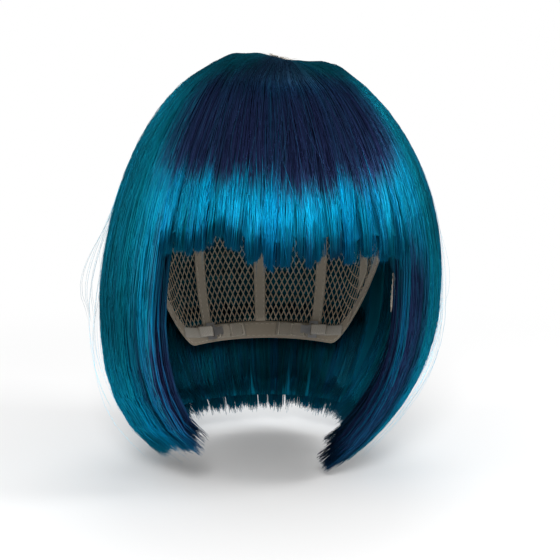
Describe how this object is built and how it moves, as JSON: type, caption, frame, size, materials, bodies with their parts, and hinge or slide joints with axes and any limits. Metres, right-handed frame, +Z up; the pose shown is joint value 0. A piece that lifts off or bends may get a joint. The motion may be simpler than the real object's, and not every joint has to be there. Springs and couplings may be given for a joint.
{
  "type": "costume bob wig",
  "caption": "Chin-length teal-blue bob wig with a blunt choppy fringe, sewn on a wefted stretch cap with ear tabs and hooked nape straps.",
  "frame": {"origin": "on the crown axis, in the sizing plane round the brow, at the centre of the opening that takes the head", "axes": "+Z up along the crown axis, -Y out of the face opening, +X to the wearer's left"},
  "size_m": [0.2078, 0.2242, 0.2542],
  "materials": {
    "crown_hair": "glossy synthetic fibre, deep teal over navy",
    "outer_hair": "glossy synthetic fibre, teal to bright blue",
    "under_hair": "glossy synthetic fibre, dark navy",
    "net": "fine pale stretch net",
    "skin": "pale matt skin-coloured film",
    "band": "pale woven edge ribbon with stitching",
    "tape": "pale stretch tape",
    "weft": "sewn weft head, teal thread",
    "tab": "pale plush-backed cloth",
    "stay": "soft bendable strip",
    "loops": "pale cord loops on tape",
    "hook": "plated sheet metal",
    "elastic": "pale ribbed elastic webbing"
  },
  "bodies": {
    "cap": {"crown_net": "net", "skin_top": "skin", "front_band": "band", "right_ear_band": "band", "left_ear_band": "band", "nape_band": "band", "crown_weft": "weft", "upper_fringe_weft": "weft", "lower_fringe_weft": "weft", "tape_1": "tape", "tape_2": "tape", "tape_3": "tape", "tape_4": "tape", "tape_5": "tape", "tape_6": "tape", "tape_7": "tape", "back_weft_1": "weft", "back_weft_2": "weft", "back_weft_3": "weft", "back_weft_4": "weft", "back_weft_5": "weft", "back_weft_6": "weft", "back_weft_7": "weft", "back_weft_8": "weft", "right_loop_tape": "loops", "left_loop_tape": "loops", "right_strap": "elastic", "left_strap": "elastic", "front_hair": "crown_hair", "right_hair": "crown_hair", "left_hair": "crown_hair", "back_hair": "crown_hair"},
    "fringe": {"fringe": "outer_hair"},
    "right_side": {"right_curtain": "outer_hair", "right_under_hair": "under_hair"},
    "left_side": {"left_curtain": "outer_hair", "left_under_hair": "under_hair"},
    "back": {"back_curtain": "outer_hair", "nape_hair": "under_hair"},
    "right_tab": {"right_ear_tab": "tab", "right_ear_stay": "stay"},
    "left_tab": {"left_ear_tab": "tab", "left_ear_stay": "stay"},
    "right_hook": {"right_hook": "hook"},
    "left_hook": {"left_hook": "hook"}
  },
  "joints": [
    {"name": "fringe_lift", "type": "hinge", "parent": "cap", "child": "fringe", "pos_m": [0, -0.1067, 0.038], "axis": [-1, 0, 0], "range_deg": [0, 35], "stiffness_Nm_per_rad": 0.02, "springref_deg": -5.73},
    {"name": "right_side_swing", "type": "hinge", "parent": "cap", "child": "right_side", "pos_m": [-0.1029, 0, 0.004], "axis": [0, 1, 0], "range_deg": [0, 25], "stiffness_Nm_per_rad": 0.06, "springref_deg": -5.73},
    {"name": "left_side_swing", "type": "hinge", "parent": "cap", "child": "left_side", "pos_m": [0.1029, 0, 0.004], "axis": [0, -1, 0], "range_deg": [0, 25], "stiffness_Nm_per_rad": 0.06, "springref_deg": -5.73},
    {"name": "back_lift", "type": "hinge", "parent": "cap", "child": "back", "pos_m": [0, 0.1108, 0.004], "axis": [1, 0, 0], "range_deg": [0, 20], "stiffness_Nm_per_rad": 0.25, "springref_deg": -8.59},
    {"name": "right_tab_flex", "type": "hinge", "parent": "cap", "child": "right_tab", "pos_m": [-0.0743, -0.0229, 0.0072], "axis": [0.1698, -0.9855, 0], "range_deg": [-4, 12], "stiffness_Nm_per_rad": 0.03},
    {"name": "left_tab_flex", "type": "hinge", "parent": "cap", "child": "left_tab", "pos_m": [0.0743, -0.0229, 0.0072], "axis": [0.1698, 0.9855, 0], "range_deg": [-4, 12], "stiffness_Nm_per_rad": 0.03},
    {"name": "right_unhook", "type": "slide", "parent": "cap", "child": "right_hook", "axis": [0.9183, 0.3959, 0], "range_m": [0, 0.005], "stiffness_N_per_m": 60, "springref_m": -0.005, "deforming": ["right_strap"]},
    {"name": "left_unhook", "type": "slide", "parent": "cap", "child": "left_hook", "axis": [-0.9183, 0.3959, 0], "range_m": [0, 0.005], "stiffness_N_per_m": 60, "springref_m": -0.005, "deforming": ["left_strap"]}
  ]
}
